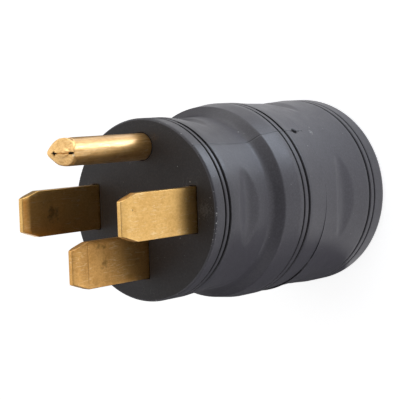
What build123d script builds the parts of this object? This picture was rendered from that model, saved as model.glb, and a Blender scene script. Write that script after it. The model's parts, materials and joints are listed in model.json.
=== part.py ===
from build123d import *
import math
import os

# Round plug adapter, standing on its socket end.
# Origin: centre of the rear rim. +Z runs to the prongs, +Y towards the ground pin.
# Sizes called a distance or a depth at the plug end are measured back from the plug face.

# Prong pattern: hot blades and ground pin on one circle, neutral blade inside it
prong_circle_radius = 17.85
hot_offset_y = 0.6
neutral_inset = 5.05

# Walls and steps outwards from the prong circle
carrier_rim = 4.55
front_wall = 3.4
shoulder_step = 3.3
middle_wall = 4.5
rim_wall = 4.6

# Outer form
body_length = 82.1
face_edge_round = 0.7
front_land_length = 8.6
front_taper = 0.5
front_waist_sag = 0.25
shoulder_foot_distance = 25.9
shoulder_foot_round = 3.0
shoulder_edge_distance = 29.1
shoulder_taper = 0.85
middle_land_distance = 35.4
middle_land_length = 6.2
joint_distance = 49.4
joint_bevel = 0.2
rear_waist_sag = 0.6
rear_land_length = 10.4
rear_rim_round = 2.0

# Ring grooves, in pairs with a bead between
groove_radius = 0.55
front_groove_distance = 4.4
front_groove_pitch = 2.0
middle_groove_distance = 37.5
middle_groove_pitch = 2.5
rear_groove_distance_from_rim = 8.9
rear_groove_pitch = 2.6

# Finger scoops, four round each barrel
scoop_count = 4
scoop_depth = 1.25
scoop_half_span = 28.6
scoop_root_round = 6.0
scoop_tool_margin = 1.0
scoop_tool_sweep = 60.0
front_scoop_distance = 16.2
front_scoop_half_width = 4.4
rear_scoop_distance = 59.6
rear_scoop_half_width = 4.2

# Moulding line between two scoops, with a pit in it
moulding_line_angle = 44.5
pit_distance = 45.4
pit_radius = 0.55
pit_depth = 0.5

# Housing insides
face_wall = 4.0
shoulder_wall = 3.0
spigot_length = 6.0
spigot_wall = 2.0
spigot_clearance = 0.1
ledge_thickness = 2.0
ledge_width = 2.1

# Prongs
prong_length = 30.2
blade_width = 12.7
blade_thickness = 2.4
blade_tip_width = 9.1
blade_taper_length = 5.9
blade_bevel_length = 2.6
blade_tip_thickness = 1.3
blade_shoulder_overhang = 1.45
blade_shoulder_height = 3.0
blade_tail_width = 8.0
blade_tail_length = 10.0
prong_gap = 0.25

# Ground pin, a tube pressed to a wedge at the tip and flat at the tail
pin_radius = 3.8
pin_wall = 1.0
pin_length = 34.2
pin_tip_height = 2.5
pin_ridge_half = 0.5
pin_corner_width = 5.8
pin_corner_height = 3.0
pin_seam_width = 0.35
pin_seam_depth = 0.5
pin_side_hole_radius = 0.55
pin_side_hole_distance = 31.2
pin_end_hole_radius = 0.6
pin_end_hole_offset = 1.6
pin_neck_length = 5.0
pin_tail_width = 9.6
pin_tail_thickness = 1.8
pin_collar_recess = 0.1
pin_collar_clearance = 0.05

# Blade carrier and divider
blade_carrier_thickness = 8.0
carrier_clearance = 0.2
slot_clearance = 0.1
divider_wall = 1.8
divider_core_radius = 3.5
divider_clearance = 0.3
divider_post_gap = 1.2

# Socket face with four curved slots
socket_recess = 1.0
socket_face_thickness = 6.0
socket_circle_radius = 14.0
socket_slot_width = 2.8
socket_slot_half_angle = 22.5
ground_hook_length = 2.6
ground_hook_angle = 9.0

# Contact carrier
contact_carrier_height = 20.0
pocket_roof = 2.8
pocket_clearance = 0.3
pocket_angle_clearance = 1.0

# Contacts, curved channels of strip brass with a tail
contact_gap = 1.7
contact_thickness = 1.0
contact_half_angle = 20.0
contact_recess = 0.8
contact_tail_width = 8.0
contact_tail_thickness = 1.2
contact_tail_length = 12.0

# Steel spring bands round the contacts
spring_thickness = 0.5
spring_height = 5.0
spring_rise = 2.0

# Links between blades and contacts
link_thickness = 1.2
link_end_gap = 1.0
link_bend_length = 5.0
angle_link_overlap = 6.0

# Rivets
rivet_radius = 1.6
rivet_head_radius = 2.6
rivet_head_height = 1.1
rivet_clearance = 0.05

# Long screws from the socket face into posts of the plug housing
screw_radius = 2.0
screw_head_radius = 3.8
screw_head_height = 2.2
screw_head_depth = 2.6
screw_slot_width = 1.0
screw_slot_depth = 0.9
screw_bite = 14.0
screw_hole_clearance = 0.2
thread_clearance = 0.05
screw_angles = (135.0, 315.0)
post_radius = 4.0
post_inset = 2.9
post_seat_gap = 0.1

# How far each cutting shape runs past the face that it cuts
cut_margin = 1.0

# How near an edge has to be to a height to be picked there
height_tolerance = 0.001

# Radii worked out from the prong circle
hot_x = prong_circle_radius
pin_offset_y = prong_circle_radius
neutral_offset_y = neutral_inset - prong_circle_radius
front_bore_radius = prong_circle_radius + carrier_rim
front_land_radius = front_bore_radius + front_wall
face_radius = front_land_radius - face_edge_round
shoulder_foot_radius = front_land_radius - front_taper
front_waist_radius = (front_land_radius + shoulder_foot_radius) / 2 - front_waist_sag
barrel_radius = front_land_radius + shoulder_step
rear_waist_radius = barrel_radius - rear_waist_sag
shoulder_edge_radius = barrel_radius - shoulder_taper
middle_bore_radius = barrel_radius - middle_wall
socket_bore_radius = barrel_radius - rim_wall
ledge_bore_radius = socket_bore_radius - ledge_width
screw_circle_radius = front_bore_radius - post_inset
blade_shoulder_width = blade_width + 2 * blade_shoulder_overhang

# Heights and inner places worked out from the sizes above
face_z = body_length
joint_z = face_z - joint_distance
face_back_z = face_z - face_wall
bore_step_z = face_z - shoulder_edge_distance - shoulder_wall
blade_carrier_back_z = face_back_z - blade_carrier_thickness
blade_tail_end_z = blade_carrier_back_z - blade_tail_length
blade_rivet_z = blade_carrier_back_z - blade_tail_length / 2
socket_face_back_z = socket_recess + socket_face_thickness
ledge_top_z = socket_face_back_z + ledge_thickness
contact_carrier_top_z = ledge_top_z + contact_carrier_height
pocket_top_z = contact_carrier_top_z - pocket_roof
contact_tail_end_z = contact_carrier_top_z + contact_tail_length
contact_rivet_z = contact_carrier_top_z + contact_tail_length / 2
post_end_z = contact_carrier_top_z + post_seat_gap
post_hole_top_z = post_end_z + screw_bite + screw_hole_clearance
screw_seat_z = socket_recess + screw_head_depth
spigot_radius = middle_bore_radius + spigot_wall
contact_inner_radius = socket_circle_radius - contact_gap / 2 - contact_thickness
contact_outer_radius = socket_circle_radius + contact_gap / 2 + contact_thickness
spring_turn = math.degrees(spring_thickness / contact_inner_radius)
link_low_z = contact_carrier_top_z + link_end_gap
link_high_z = blade_carrier_back_z - link_end_gap
link_middle_z = (blade_tail_end_z + contact_tail_end_z) / 2
blade_tip_z = face_z + prong_length
pin_tip_z = face_z + pin_length
pin_bore_radius = pin_radius - pin_wall
pin_collar_radius = pin_radius + prong_gap - pin_collar_clearance
pin_facet_slope = pin_tip_height / (pin_radius - pin_ridge_half)
pin_bore_top_z = (
    pin_tip_z - pin_facet_slope * (pin_bore_radius - pin_ridge_half) - pin_wall
)


def rod(radius, low, high):
    """Upright cylinder on the main axis between two heights."""
    return Pos(0, 0, (low + high) / 2) * Cylinder(radius, high - low)


def bar(x_size, y_size, low, high):
    """Upright rectangular bar centred on the main axis between two heights."""
    return Pos(0, 0, (low + high) / 2) * Box(x_size, y_size, high - low)


def block(x_range, y_range, z_range):
    """Box between three pairs of limits."""
    size = [high - low for low, high in (x_range, y_range, z_range)]
    middle = [(high + low) / 2 for low, high in (x_range, y_range, z_range)]
    return Pos(*middle) * Box(*size)


def sector(inner, outer, half_angle, low, high):
    """Curved block about the +X direction between two radii."""
    outline = Plane.XZ * Polyline(
        (inner, low), (outer, low), (outer, high), (inner, high), close=True
    )
    swept = revolve(make_face(outline), Axis.Z, 2 * half_angle)
    return Rot(0, 0, -half_angle) * swept


def at_angle(solid, angle):
    """Solid made about +X, turned round the main axis."""
    return Rot(0, 0, angle) * solid


def rivet_hole(thickness):
    """Hole along +X through a strip, from the middle of the strip."""
    return Rot(0, 90, 0) * Cylinder(rivet_radius + rivet_clearance, thickness + 2 * cut_margin)


# Outer form of both housings, before they are divided at the joint
def outer_form():
    foot_z = face_z - shoulder_foot_distance
    edge_z = face_z - shoulder_edge_distance
    front_land_z = face_z - front_land_length
    middle_land_z = face_z - middle_land_distance
    middle_end_z = middle_land_z - middle_land_length
    front_mid = (front_waist_radius, (front_land_z + foot_z) / 2)
    rear_mid = (rear_waist_radius, (middle_end_z + rear_land_length) / 2)
    rim_arc = JernArc((barrel_radius, rear_rim_round), (0, -1), rear_rim_round, -90)
    face_arc = JernArc((face_radius, face_z), (1, 0), face_edge_round, -90)
    edges = [
        Line((0, face_z), (face_radius, face_z)),
        face_arc,
        Line((front_land_radius, face_z - face_edge_round), (front_land_radius, front_land_z)),
        ThreePointArc(
            (front_land_radius, front_land_z), front_mid, (shoulder_foot_radius, foot_z)
        ),
        Line((shoulder_foot_radius, foot_z), (shoulder_edge_radius, edge_z)),
        Line((shoulder_edge_radius, edge_z), (barrel_radius, middle_land_z)),
        Line((barrel_radius, middle_land_z), (barrel_radius, middle_end_z)),
        ThreePointArc(
            (barrel_radius, middle_end_z), rear_mid, (barrel_radius, rear_land_length)
        ),
        Line((barrel_radius, rear_land_length), (barrel_radius, rear_rim_round)),
        rim_arc,
        Line((barrel_radius - rear_rim_round, 0), (0, 0)),
        Line((0, 0), (0, face_z)),
    ]
    form = revolve(Plane.XZ * make_face(edges), Axis.Z)
    foot_edges = [
        edge for edge in form.edges().filter_by(GeomType.CIRCLE)
        if abs(edge.center().Z - foot_z) < height_tolerance
    ]
    form = fillet(foot_edges, shoulder_foot_round)
    return Rot(0, 0, moulding_line_angle + 180) * form


# Grooves run in pairs round the lands
def groove(land_radius, z):
    return Pos(0, 0, z) * Torus(land_radius, groove_radius)


def all_grooves():
    front_z = face_z - front_groove_distance
    middle_z = face_z - middle_groove_distance
    rear_z = rear_groove_distance_from_rim
    return [
        groove(front_land_radius, front_z),
        groove(front_land_radius, front_z - front_groove_pitch),
        groove(barrel_radius, middle_z),
        groove(barrel_radius, middle_z - middle_groove_pitch),
        groove(barrel_radius, rear_z),
        groove(barrel_radius, rear_z - rear_groove_pitch),
    ]


# A scoop is a V-shaped valley with a round root. It is swept about an axis behind the
# body, so it is deepest in the middle and runs out in a point at each end.
def scoop(waist_radius, half_width, z, angle):
    span_reach = waist_radius * math.cos(math.radians(scoop_half_span))
    floor_radius = waist_radius - scoop_depth
    axis_shift = scoop_depth * (2 * waist_radius - scoop_depth) / (2 * (floor_radius - span_reach))
    sweep_radius = floor_radius + axis_shift
    height = scoop_depth + scoop_tool_margin
    flank = half_width * height / scoop_depth
    triangle = make_face(
        Polyline(
            (sweep_radius, 0), (sweep_radius + height, flank), (sweep_radius + height, -flank),
            close=True,
        )
    )
    root = triangle.vertices().sort_by(Axis.X)[0]
    profile = fillet(root, scoop_root_round)
    tool = Rot(0, 0, -scoop_tool_sweep / 2) * revolve(Plane.XZ * profile, Axis.Z, scoop_tool_sweep)
    return Rot(0, 0, angle) * Pos(-axis_shift, 0, z) * tool


def all_scoops():
    tools = []
    for index in range(scoop_count):
        angle = index * 360 / scoop_count
        tools.append(
            scoop(front_waist_radius, front_scoop_half_width, face_z - front_scoop_distance, angle)
        )
        tools.append(
            scoop(rear_waist_radius, rear_scoop_half_width, face_z - rear_scoop_distance, angle)
        )
    return tools


def moulding_pit():
    near_surface = (barrel_radius + rear_waist_radius) / 2
    place = Rot(0, 0, moulding_line_angle) * Pos(near_surface, 0, face_z - pit_distance)
    return place * Rot(0, 90, 0) * Cylinder(pit_radius, 2 * pit_depth)


def joint_v_cut():
    """Shallow V round the seam between the two housings."""
    outline = Polyline(
        (rear_waist_radius - joint_bevel, joint_z),
        (barrel_radius + joint_bevel, joint_z + 2 * joint_bevel),
        (barrel_radius + joint_bevel, joint_z - 2 * joint_bevel),
        close=True,
    )
    return revolve(Plane.XZ * make_face(outline), Axis.Z)


def dressed_form():
    form = outer_form()
    for tool in all_grooves() + all_scoops():
        form = form - tool
    form = form - moulding_pit()
    return form - joint_v_cut()


# Places of the blades and screws in plan
def blade_places():
    return {
        "hot_blade_x": (hot_x, hot_offset_y),
        "hot_blade_y": (-hot_x, hot_offset_y),
        "neutral_blade": (0, neutral_offset_y),
    }


def screw_places():
    return [
        (
            screw_circle_radius * math.cos(math.radians(angle)),
            screw_circle_radius * math.sin(math.radians(angle)),
        )
        for angle in screw_angles
    ]


# Plug housing: face wall, bores, screw posts and the spigot
def plug_housing(form):
    reach = barrel_radius + cut_margin
    above_face_z = face_z + cut_margin
    spigot_end_z = joint_z - spigot_length
    shell = form & rod(reach, joint_z, above_face_z)
    shell = shell + rod(spigot_radius, spigot_end_z, joint_z)
    shell = shell - rod(middle_bore_radius, spigot_end_z, bore_step_z)
    shell = shell - rod(front_bore_radius, bore_step_z, face_back_z)
    for x, y in screw_places():
        shell = shell + Pos(x, y, 0) * rod(post_radius, post_end_z, face_back_z)
    for x, y in screw_places():
        shell = shell - Pos(x, y, 0) * rod(
            screw_radius + thread_clearance, post_end_z, post_hole_top_z
        )
    for x, y in blade_places().values():
        shell = shell - Pos(x, y, 0) * bar(
            blade_thickness + 2 * prong_gap, blade_width + 2 * prong_gap,
            face_back_z, above_face_z,
        )
    return shell - Pos(0, pin_offset_y, 0) * rod(
        pin_radius + prong_gap, face_back_z, above_face_z
    )


# Socket housing: bore, ledge for the socket face and the counterbore for the spigot
def socket_housing(form):
    below_rim_z = -cut_margin
    shell = form & rod(barrel_radius + cut_margin, below_rim_z, joint_z)
    shell = shell - rod(socket_bore_radius, below_rim_z, socket_face_back_z)
    shell = shell - rod(ledge_bore_radius, socket_face_back_z, ledge_top_z)
    shell = shell - rod(socket_bore_radius, ledge_top_z, joint_z)
    return shell - rod(
        spigot_radius + spigot_clearance, joint_z - spigot_length - spigot_clearance, joint_z
    )


# Blades, cut from bar: the tip tapers in width and is bevelled in thickness
def blade_prong():
    taper_z = blade_tip_z - blade_taper_length
    bevel_z = blade_tip_z - blade_bevel_length
    half_width = blade_width / 2
    half_tip_width = blade_tip_width / 2
    half_thickness = blade_thickness / 2
    half_tip_thickness = blade_tip_thickness / 2
    wide_face = Polyline(
        (half_width, face_back_z), (half_width, taper_z), (half_tip_width, blade_tip_z),
        (-half_tip_width, blade_tip_z), (-half_width, taper_z), (-half_width, face_back_z),
        close=True,
    )
    edge_on = Polyline(
        (half_thickness, face_back_z), (half_thickness, bevel_z),
        (half_tip_thickness, blade_tip_z), (-half_tip_thickness, blade_tip_z),
        (-half_thickness, bevel_z), (-half_thickness, face_back_z),
        close=True,
    )
    tapered = extrude(Plane.YZ * make_face(wide_face), blade_thickness, both=True)
    bevelled = extrude(Plane.XZ * make_face(edge_on), blade_width, both=True)
    return tapered & bevelled


def blade(x, y):
    shoulder_low_z = face_back_z - blade_shoulder_height
    shoulder = bar(blade_thickness, blade_shoulder_width, shoulder_low_z, face_back_z)
    tail = bar(blade_thickness, blade_tail_width, blade_tail_end_z, shoulder_low_z)
    hole = Pos(0, 0, blade_rivet_z) * rivet_hole(blade_thickness)
    return Pos(x, y, 0) * (blade_prong() + shoulder + tail - hole)


# Ground pin: drawn tube with a hole through its side and end, a wedge tip with a seam
# across it, a root collar that centres it in its hole in the face, and a flat tail
def tip_prism(half_flat, edge_drop_per_mm):
    """Outline of the tip seen from one side: flat in the middle and sloping to each edge."""
    edge = pin_radius + cut_margin
    edge_z = pin_tip_z - edge_drop_per_mm * (edge - half_flat)
    low_z = face_back_z - cut_margin
    return make_face(
        Polyline(
            (-edge, low_z), (edge, low_z), (edge, edge_z), (half_flat, pin_tip_z),
            (-half_flat, pin_tip_z), (-edge, edge_z), close=True,
        )
    )


def pin_tube():
    reach = pin_radius + cut_margin
    half_corner = pin_corner_width / 2
    corner_slope = pin_corner_height / (pin_radius - half_corner)
    facets = extrude(Plane.YZ * tip_prism(pin_ridge_half, pin_facet_slope), reach, both=True)
    corners = extrude(Plane.XZ * tip_prism(half_corner, corner_slope), reach, both=True)
    tube = rod(pin_radius, face_back_z, pin_tip_z) & facets & corners
    return tube + rod(pin_collar_radius, face_back_z, face_z - pin_collar_recess)


def pin_tail():
    tail_top_z = face_back_z - pin_neck_length
    round_end = Plane((0, 0, face_back_z)) * Circle(pin_radius)
    flat_end = Plane((0, 0, tail_top_z)) * Ellipse(pin_tail_width / 2, pin_tail_thickness / 2)
    neck = loft([round_end, flat_end])
    return neck + bar(pin_tail_width, pin_tail_thickness, blade_tail_end_z, tail_top_z)


def pin_cuts():
    seam = bar(
        2 * pin_radius, pin_seam_width, pin_tip_z - pin_seam_depth, pin_tip_z + cut_margin
    )
    side_hole = Pos(pin_radius, 0, face_z + pin_side_hole_distance) * Rot(0, 90, 0) * Cylinder(
        pin_side_hole_radius, 2 * pin_wall + cut_margin
    )
    end_hole = Pos(-pin_end_hole_offset, 0, 0) * rod(
        pin_end_hole_radius, pin_bore_top_z - cut_margin, pin_tip_z + cut_margin
    )
    tail_hole = Pos(0, 0, blade_rivet_z) * Rot(0, 0, 90) * rivet_hole(pin_tail_thickness)
    return seam + side_hole + end_hole + tail_hole


def ground_pin():
    pin = pin_tube() + pin_tail() - rod(pin_bore_radius, face_back_z + pin_wall, pin_bore_top_z)
    return Pos(0, pin_offset_y, 0) * (pin - pin_cuts())


# Blade carrier: disc behind the face wall with a pocket for each prong's shoulder or neck
def shoulder_pocket():
    top_z = face_back_z + cut_margin
    thickness = blade_thickness + 2 * slot_clearance
    return bar(
        thickness, blade_shoulder_width + 2 * slot_clearance,
        face_back_z - blade_shoulder_height, top_z,
    ) + bar(
        thickness, blade_tail_width + 2 * slot_clearance,
        blade_carrier_back_z - cut_margin, top_z,
    )


def neck_pocket():
    top_z = face_back_z + cut_margin
    neck_low_z = face_back_z - pin_neck_length
    width = pin_tail_width + 2 * slot_clearance
    thickness = pin_tail_thickness + 2 * slot_clearance
    round_part = rod(pin_radius + slot_clearance, neck_low_z, top_z)
    flared_part = bar(width, pin_tail_thickness + pin_radius, neck_low_z, top_z)
    tail_part = bar(width, thickness, blade_carrier_back_z - cut_margin, top_z)
    return round_part + flared_part + tail_part


def blade_carrier():
    disc = rod(front_bore_radius - carrier_clearance, blade_carrier_back_z, face_back_z)
    for x, y in blade_places().values():
        disc = disc - Pos(x, y, 0) * shoulder_pocket()
    disc = disc - Pos(0, pin_offset_y, 0) * neck_pocket()
    for x, y in screw_places():
        disc = disc - Pos(x, y, 0) * rod(
            post_radius + carrier_clearance,
            blade_carrier_back_z - cut_margin, face_back_z + cut_margin,
        )
    return disc


# Divider: cross of walls that keeps the four links apart
def insulating_divider():
    low = contact_carrier_top_z + divider_clearance
    high = blade_carrier_back_z - divider_clearance
    reach = front_bore_radius - divider_clearance
    short_reach = screw_circle_radius - post_radius - divider_post_gap
    half = divider_wall / 2
    long_wall = block((-reach, reach), (-half, half), (low, high))
    short_wall = block((-short_reach, short_reach), (-half, half), (low, high))
    core = rod(divider_core_radius, low, high)
    post_line = screw_angles[0]
    cross = at_angle(long_wall, post_line + 90) + at_angle(short_wall, post_line) + core
    return cross & rod(reach, low, high)


# Socket face: four curved slots, the ground slot with a hook
def socket_slot(angle, hooked):
    inner = socket_circle_radius - socket_slot_width / 2
    outer = socket_circle_radius + socket_slot_width / 2
    low = socket_recess - cut_margin
    high = socket_face_back_z + cut_margin
    slot = sector(inner, outer, socket_slot_half_angle, low, high)
    if hooked:
        hook = sector(inner - ground_hook_length, outer, ground_hook_angle / 2, low, high)
        slot = slot + at_angle(hook, socket_slot_half_angle - ground_hook_angle / 2)
    return at_angle(slot, angle)


def contact_angles():
    return {"hot_x": 0, "ground": 90, "hot_y": 180, "neutral": 270}


def socket_face():
    disc = rod(socket_bore_radius - carrier_clearance, socket_recess, socket_face_back_z)
    for name, angle in contact_angles().items():
        disc = disc - socket_slot(angle, name == "ground")
    outside_z = socket_recess - cut_margin
    for x, y in screw_places():
        disc = disc - Pos(x, y, 0) * rod(
            screw_radius + screw_hole_clearance, outside_z, socket_face_back_z + cut_margin
        )
        disc = disc - Pos(x, y, 0) * rod(
            screw_head_radius + screw_hole_clearance, outside_z, screw_seat_z
        )
    return disc


# Contact carrier: block with four curved pockets, a roof over them and holes for the tails
def contact_pocket():
    return sector(
        contact_inner_radius - spring_thickness - pocket_clearance,
        contact_outer_radius + spring_thickness + pocket_clearance,
        contact_half_angle + spring_turn + pocket_angle_clearance,
        socket_face_back_z - cut_margin,
        pocket_top_z,
    )


def contact_carrier():
    body = rod(socket_bore_radius - carrier_clearance, ledge_top_z, contact_carrier_top_z)
    body = body + rod(ledge_bore_radius - carrier_clearance, socket_face_back_z, ledge_top_z)
    tail_slot = Pos(socket_circle_radius, 0, 0) * bar(
        contact_tail_thickness + 2 * slot_clearance,
        contact_tail_width + 2 * slot_clearance,
        pocket_top_z - cut_margin,
        contact_carrier_top_z + cut_margin,
    )
    for angle in contact_angles().values():
        body = body - at_angle(contact_pocket(), angle) - at_angle(tail_slot, angle)
    for x, y in screw_places():
        body = body - Pos(x, y, 0) * rod(
            screw_radius + screw_hole_clearance,
            socket_face_back_z - cut_margin, contact_carrier_top_z + cut_margin,
        )
    return body


# Contact: two curved leaves, a web against the pocket roof and a tail with a rivet hole
def contact(angle):
    low = socket_face_back_z + contact_recess
    inner_leaf = sector(
        contact_inner_radius, contact_inner_radius + contact_thickness, contact_half_angle,
        low, pocket_top_z,
    )
    outer_leaf = sector(
        contact_outer_radius - contact_thickness, contact_outer_radius, contact_half_angle,
        low, pocket_top_z,
    )
    web = sector(
        contact_inner_radius, contact_outer_radius, contact_half_angle,
        pocket_top_z - contact_thickness, pocket_top_z,
    )
    tail = Pos(socket_circle_radius, 0, 0) * bar(
        contact_tail_thickness, contact_tail_width,
        pocket_top_z - contact_thickness / 2, contact_tail_end_z,
    )
    hole = Pos(socket_circle_radius, 0, contact_rivet_z) * rivet_hole(contact_tail_thickness)
    return at_angle(inner_leaf + outer_leaf + web + tail - hole, angle)


# Spring band: closed steel collar round both leaves
def contact_spring(angle):
    low = socket_face_back_z + contact_recess + spring_rise
    high = low + spring_height
    outside = sector(
        contact_inner_radius - spring_thickness, contact_outer_radius + spring_thickness,
        contact_half_angle + spring_turn, low, high,
    )
    inside = sector(
        contact_inner_radius, contact_outer_radius, contact_half_angle,
        low - cut_margin, high + cut_margin,
    )
    return at_angle(outside - inside, angle)


# Link: flat strip with a double bend, riveted to the inner face of a prong's tail and the
# outer face of a contact's tail
def link(angle, prong_inner_face, side_shift):
    low_in = socket_circle_radius + contact_tail_thickness / 2
    high_in = prong_inner_face - link_thickness
    bend_low = link_middle_z - link_bend_length / 2
    bend_high = link_middle_z + link_bend_length / 2
    outline = Polyline(
        (low_in, link_low_z), (low_in + link_thickness, link_low_z),
        (low_in + link_thickness, bend_low), (high_in + link_thickness, bend_high),
        (high_in + link_thickness, link_high_z), (high_in, link_high_z),
        (high_in, bend_high), (low_in, bend_low), close=True,
    )
    strip = extrude(Plane.XZ * make_face(outline), contact_tail_width / 2, both=True)
    hole = rivet_hole(link_thickness)
    low_hole = Pos(low_in + link_thickness / 2, 0, contact_rivet_z) * hole
    high_hole = Pos(high_in + link_thickness / 2, side_shift, blade_rivet_z) * hole
    return at_angle(strip - low_hole - high_hole, angle)


# Neutral link: folded angle, one leaf along the contact's tail and one along the blade's tail
def neutral_link():
    leaf_out = -(socket_circle_radius + contact_tail_thickness / 2)
    leaf_y = (leaf_out - link_thickness, leaf_out)
    inner_x = blade_thickness / 2
    flange_x = (inner_x, inner_x + link_thickness)
    leaf = block(
        (-contact_tail_width / 2, flange_x[1]),
        leaf_y,
        (link_low_z, link_middle_z + angle_link_overlap / 2),
    )
    flange = block(
        flange_x,
        (leaf_y[0], neutral_offset_y + blade_tail_width / 2),
        (link_middle_z - angle_link_overlap / 2, link_high_z),
    )
    hole = rivet_hole(link_thickness)
    leaf_hole = Pos(0, leaf_out - link_thickness / 2, contact_rivet_z) * Rot(0, 0, 90) * hole
    flange_hole = Pos(inner_x + link_thickness / 2, neutral_offset_y, blade_rivet_z) * hole
    return leaf + flange - leaf_hole - flange_hole


# Rivet along +X, its two heads outside the given faces
def rivet(low_face, high_face):
    shank_length = high_face - low_face + rivet_head_height
    shank = Pos((low_face + high_face) / 2, 0, 0) * Rot(0, 90, 0) * Cylinder(
        rivet_radius, shank_length
    )
    low_head = Pos(low_face - rivet_head_height / 2, 0, 0) * Rot(0, 90, 0) * Cylinder(
        rivet_head_radius, rivet_head_height
    )
    high_head = Pos(high_face + rivet_head_height / 2, 0, 0) * Rot(0, 90, 0) * Cylinder(
        rivet_head_radius, rivet_head_height
    )
    return shank + low_head + high_head


def blade_rivets():
    half = blade_thickness / 2
    hot = rivet(hot_x - half - link_thickness, hot_x + half)
    hot_place = Pos(0, hot_offset_y, blade_rivet_z)
    pin_inner = pin_offset_y - pin_tail_thickness / 2
    ground = Rot(0, 0, 90) * rivet(pin_inner - link_thickness, pin_inner + pin_tail_thickness)
    neutral = Pos(0, neutral_offset_y, blade_rivet_z) * rivet(-half, half + link_thickness)
    return [
        hot_place * hot,
        hot_place * Rot(0, 0, 180) * hot,
        Pos(0, 0, blade_rivet_z) * ground,
        neutral,
    ]


def contact_rivets():
    half = contact_tail_thickness / 2
    inner = socket_circle_radius - half
    outer = socket_circle_radius + half + link_thickness
    one = Pos(0, 0, contact_rivet_z) * rivet(inner, outer)
    return [at_angle(one, angle) for angle in contact_angles().values()]


# Long slotted screws, heads sunk in the socket face
def assembly_screws():
    head_low_z = screw_seat_z - screw_head_height
    shank = rod(screw_radius, screw_seat_z, post_end_z + screw_bite)
    head = rod(screw_head_radius, head_low_z, screw_seat_z)
    slot = bar(
        2 * screw_head_radius, screw_slot_width,
        head_low_z - cut_margin, head_low_z + screw_slot_depth,
    )
    screw = shank + head - slot
    return [Pos(x, y, 0) * screw for x, y in screw_places()]


def build_parts():
    form = dressed_form()
    parts = {
        "plug_housing": plug_housing(form),
        "socket_housing": socket_housing(form),
        "socket_face": socket_face(),
        "contact_carrier": contact_carrier(),
        "blade_carrier": blade_carrier(),
        "insulating_divider": insulating_divider(),
        "ground_pin": ground_pin(),
        "hot_link_x": link(0, hot_x - blade_thickness / 2, hot_offset_y),
        "hot_link_y": link(180, hot_x - blade_thickness / 2, -hot_offset_y),
        "ground_link": link(90, pin_offset_y - pin_tail_thickness / 2, 0),
        "neutral_link": neutral_link(),
        "blade_rivets": Compound(children=blade_rivets()),
        "contact_rivets": Compound(children=contact_rivets()),
        "assembly_screws": Compound(children=assembly_screws()),
    }
    for name, (x, y) in blade_places().items():
        parts[name] = blade(x, y)
    for name, angle in contact_angles().items():
        parts[name + "_contact"] = contact(angle)
        parts[name + "_spring"] = contact_spring(angle)
    return parts


os.makedirs("parts", exist_ok=True)
for part_name, part in build_parts().items():
    export_step(part, os.path.join("parts", part_name + ".step"))
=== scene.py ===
import bpy
import bmesh
import json
import math
import numpy as np
from mathutils import Matrix, Vector


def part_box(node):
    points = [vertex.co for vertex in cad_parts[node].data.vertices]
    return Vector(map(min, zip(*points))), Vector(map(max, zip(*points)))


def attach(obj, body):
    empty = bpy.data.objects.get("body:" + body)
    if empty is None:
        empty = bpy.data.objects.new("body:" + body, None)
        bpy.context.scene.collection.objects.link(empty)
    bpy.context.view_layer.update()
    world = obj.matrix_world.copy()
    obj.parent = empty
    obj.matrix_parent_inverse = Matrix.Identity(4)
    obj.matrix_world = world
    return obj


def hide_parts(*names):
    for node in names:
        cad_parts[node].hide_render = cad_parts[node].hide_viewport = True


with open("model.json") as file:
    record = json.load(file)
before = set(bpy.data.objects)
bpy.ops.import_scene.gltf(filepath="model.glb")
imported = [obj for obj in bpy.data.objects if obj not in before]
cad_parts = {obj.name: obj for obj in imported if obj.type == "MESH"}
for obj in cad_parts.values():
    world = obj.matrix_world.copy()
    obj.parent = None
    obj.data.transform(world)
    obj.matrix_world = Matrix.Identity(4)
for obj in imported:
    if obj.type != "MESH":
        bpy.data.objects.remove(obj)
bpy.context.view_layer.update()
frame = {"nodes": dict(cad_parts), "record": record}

MM = 0.001
nodes = frame["nodes"]

# Heights and radii of the body in millimetres, as in the solids
FACE_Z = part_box("plug_housing")[1].z / MM
JOINT_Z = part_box("socket_housing")[1].z / MM
BARREL_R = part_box("socket_housing")[1].x / MM
FACE_EDGE_ROUND = 0.7
FRONT_LAND_R = BARREL_R - 3.3
FRONT_LAND_LENGTH = 8.6
FRONT_TAPER = 0.5
FRONT_WAIST_SAG = 0.25
FOOT_DISTANCE = 25.9
FOOT_ROUND = 3.0
EDGE_DISTANCE = 29.1
SHOULDER_TAPER = 0.85
MIDDLE_LAND_DISTANCE = 35.4
MIDDLE_LAND_LENGTH = 6.2
REAR_WAIST_SAG = 0.6
REAR_LAND_LENGTH = 10.4
RIM_ROUND = 2.0
GROOVE_R = 0.55
SOFT_GROOVE_R = 0.36
GROOVE_LIP = 0.12
SOFT_GROOVES = (FACE_Z - 4.4, FACE_Z - 37.5, 6.3)
CRISP_GROOVES = (FACE_Z - 6.4, FACE_Z - 40.0, 8.9)
SCOOP_DEPTH = 1.25
SCOOP_SPAN = math.radians(28.6)
SCOOP_ROOT = 6.0
SCOOP_EDGE = 0.1
SCOOP_REACH = 8.0
FRONT_SCOOP = (FACE_Z - 16.2, 4.4)
REAR_SCOOP = (FACE_Z - 59.6, 4.2)
SCOOP_COUNT = 4
FOOT_SOFTNESS = 0.36
EDGE_SOFTNESS = 0.3

# Moulding lines, the slight flat past the front one, and the pit with its dashes
LINE_ANGLE = math.radians(44.5)
LINE_DEPTH = 0.12
LINE_WIDTH = 0.13
BACK_LINE_DEPTH = 0.05
BACK_LINE_WIDTH = 0.1
FLAT_DEPTH = 0.3
FLAT_RISE = 2.5
FLAT_REACH = 7.0
FLAT_FADE = 6.0
PIT_Z = FACE_Z - 45.4
PIT_R = 0.85
PIT_STRETCH = 1.2
PIT_DEPTH = 0.6
PIT_EDGE = 1.4
DASH_DEPTH = 0.16
DASH_WIDTH = 0.2
DASH_REACH = 2.4
DASH_RATE = 5.0
DASH_CUT = -0.6

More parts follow.
